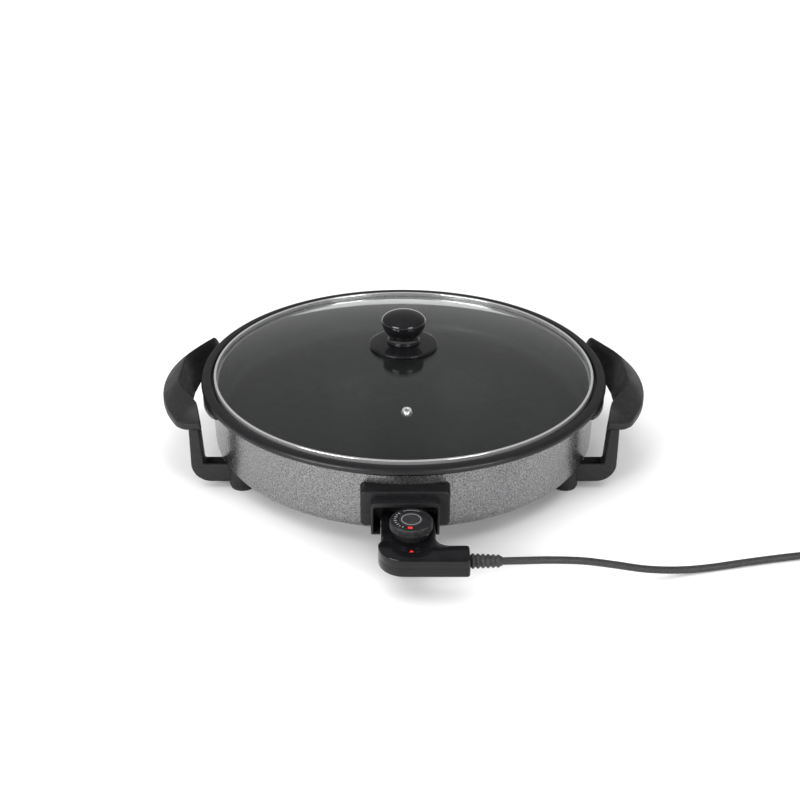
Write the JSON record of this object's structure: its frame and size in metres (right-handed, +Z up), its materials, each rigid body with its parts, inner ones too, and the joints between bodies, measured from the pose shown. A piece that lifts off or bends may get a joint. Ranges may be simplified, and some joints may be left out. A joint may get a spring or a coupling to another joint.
{
  "type": "electric griddle pan",
  "caption": "Round electric griddle pan with domed glass lid, side handles with legs, and a plug-in thermostat with dial and mains cord.",
  "frame": {"origin": "on the table, at the middle of the outline of the pan, handles and thermostat without the cord; the pan's own axis stands 38.55 mm behind it, at y = +0.03855", "axes": "+Z up, -Y towards the thermostat at the front, +X to the right, where the cord leaves; the handles lie on -X and +X"},
  "size_m": [0.758, 0.5038, 0.158],
  "materials": {
    "hammered_lacquer": "grey hammered lacquer on cast aluminium, black non-stick inside and on the rim",
    "sheet_steel": "plain aluminised sheet steel",
    "screw_steel": "zinc-plated steel",
    "element_sheath": "heat-browned steel tube",
    "ceramic": "unglazed off-white steatite ceramic",
    "nickel_contact": "nickel-plated contact metal",
    "black_plastic": "fine-textured black heat-proof plastic",
    "pad_rubber": "black silicone rubber",
    "lid_glass": "clear tempered glass",
    "polished_steel": "polished stainless steel",
    "knob_plastic": "glossy black phenolic",
    "gloss_black": "glossy black plastic",
    "contact_brass": "plain brass",
    "lamp_glass": "clear neon lamp glass",
    "pilot_red": "translucent red lens",
    "cord_rubber": "matt black flexible sheath",
    "plug_rubber": "moulded black plug",
    "dial_plastic": "satin black knurled dial",
    "dial_print": "black printed disc with a pale ring and scale strokes"
  },
  "bodies": {
    "pan": {"pan_body": "hammered_lacquer", "base_plate": "sheet_steel", "base_plate_screws": "screw_steel", "heating_element": "element_sheath", "terminal_insulators": "ceramic", "terminal_pins": "nickel_contact", "probe_guide": "element_sheath", "socket_housing": "black_plastic", "socket_screws": "screw_steel", "handle_left": "black_plastic", "handle_right": "black_plastic", "handle_screws": "screw_steel", "foot_pads": "pad_rubber"},
    "lid": {"lid_glass": "lid_glass", "lid_ring": "polished_steel", "steam_vent": "polished_steel", "knob_base": "knob_plastic", "lid_knob": "knob_plastic", "knob_washer": "screw_steel", "knob_screw": "screw_steel"},
    "thermostat": {"thermostat_upper_shell": "gloss_black", "thermostat_lower_shell": "gloss_black", "shell_screws": "screw_steel", "probe_rod": "nickel_contact", "probe_bracket": "sheet_steel", "contact_clips": "contact_brass", "contact_carrier": "ceramic", "switch_block": "ceramic", "switch_blades": "contact_brass", "earth_spring": "contact_brass", "pilot_lamp": "lamp_glass", "pilot_lens": "pilot_red", "cord_clamp": "black_plastic", "strain_relief": "cord_rubber", "cord_run": "cord_rubber", "cord_coil": "cord_rubber", "cord_tail": "cord_rubber", "plug_body": "plug_rubber", "plug_pins": "nickel_contact", "plug_earth_clips": "contact_brass"},
    "dial": {"dial": "dial_plastic", "dial_scale_disc": "dial_print", "dial_spindle": "screw_steel"}
  },
  "joints": [
    {"name": "lid_lift", "type": "slide", "parent": "pan", "child": "lid", "axis": [0, 0, 1], "range_m": [0, 0.15]},
    {"name": "thermostat_pull", "type": "slide", "parent": "pan", "child": "thermostat", "axis": [0, -1, 0], "range_m": [0, 0.1]},
    {"name": "dial_turn", "type": "hinge", "parent": "thermostat", "child": "dial", "pos_m": [0.005, -0.21265, 0.057], "axis": [0, 0, 1], "range_deg": [-280, 0]}
  ]
}
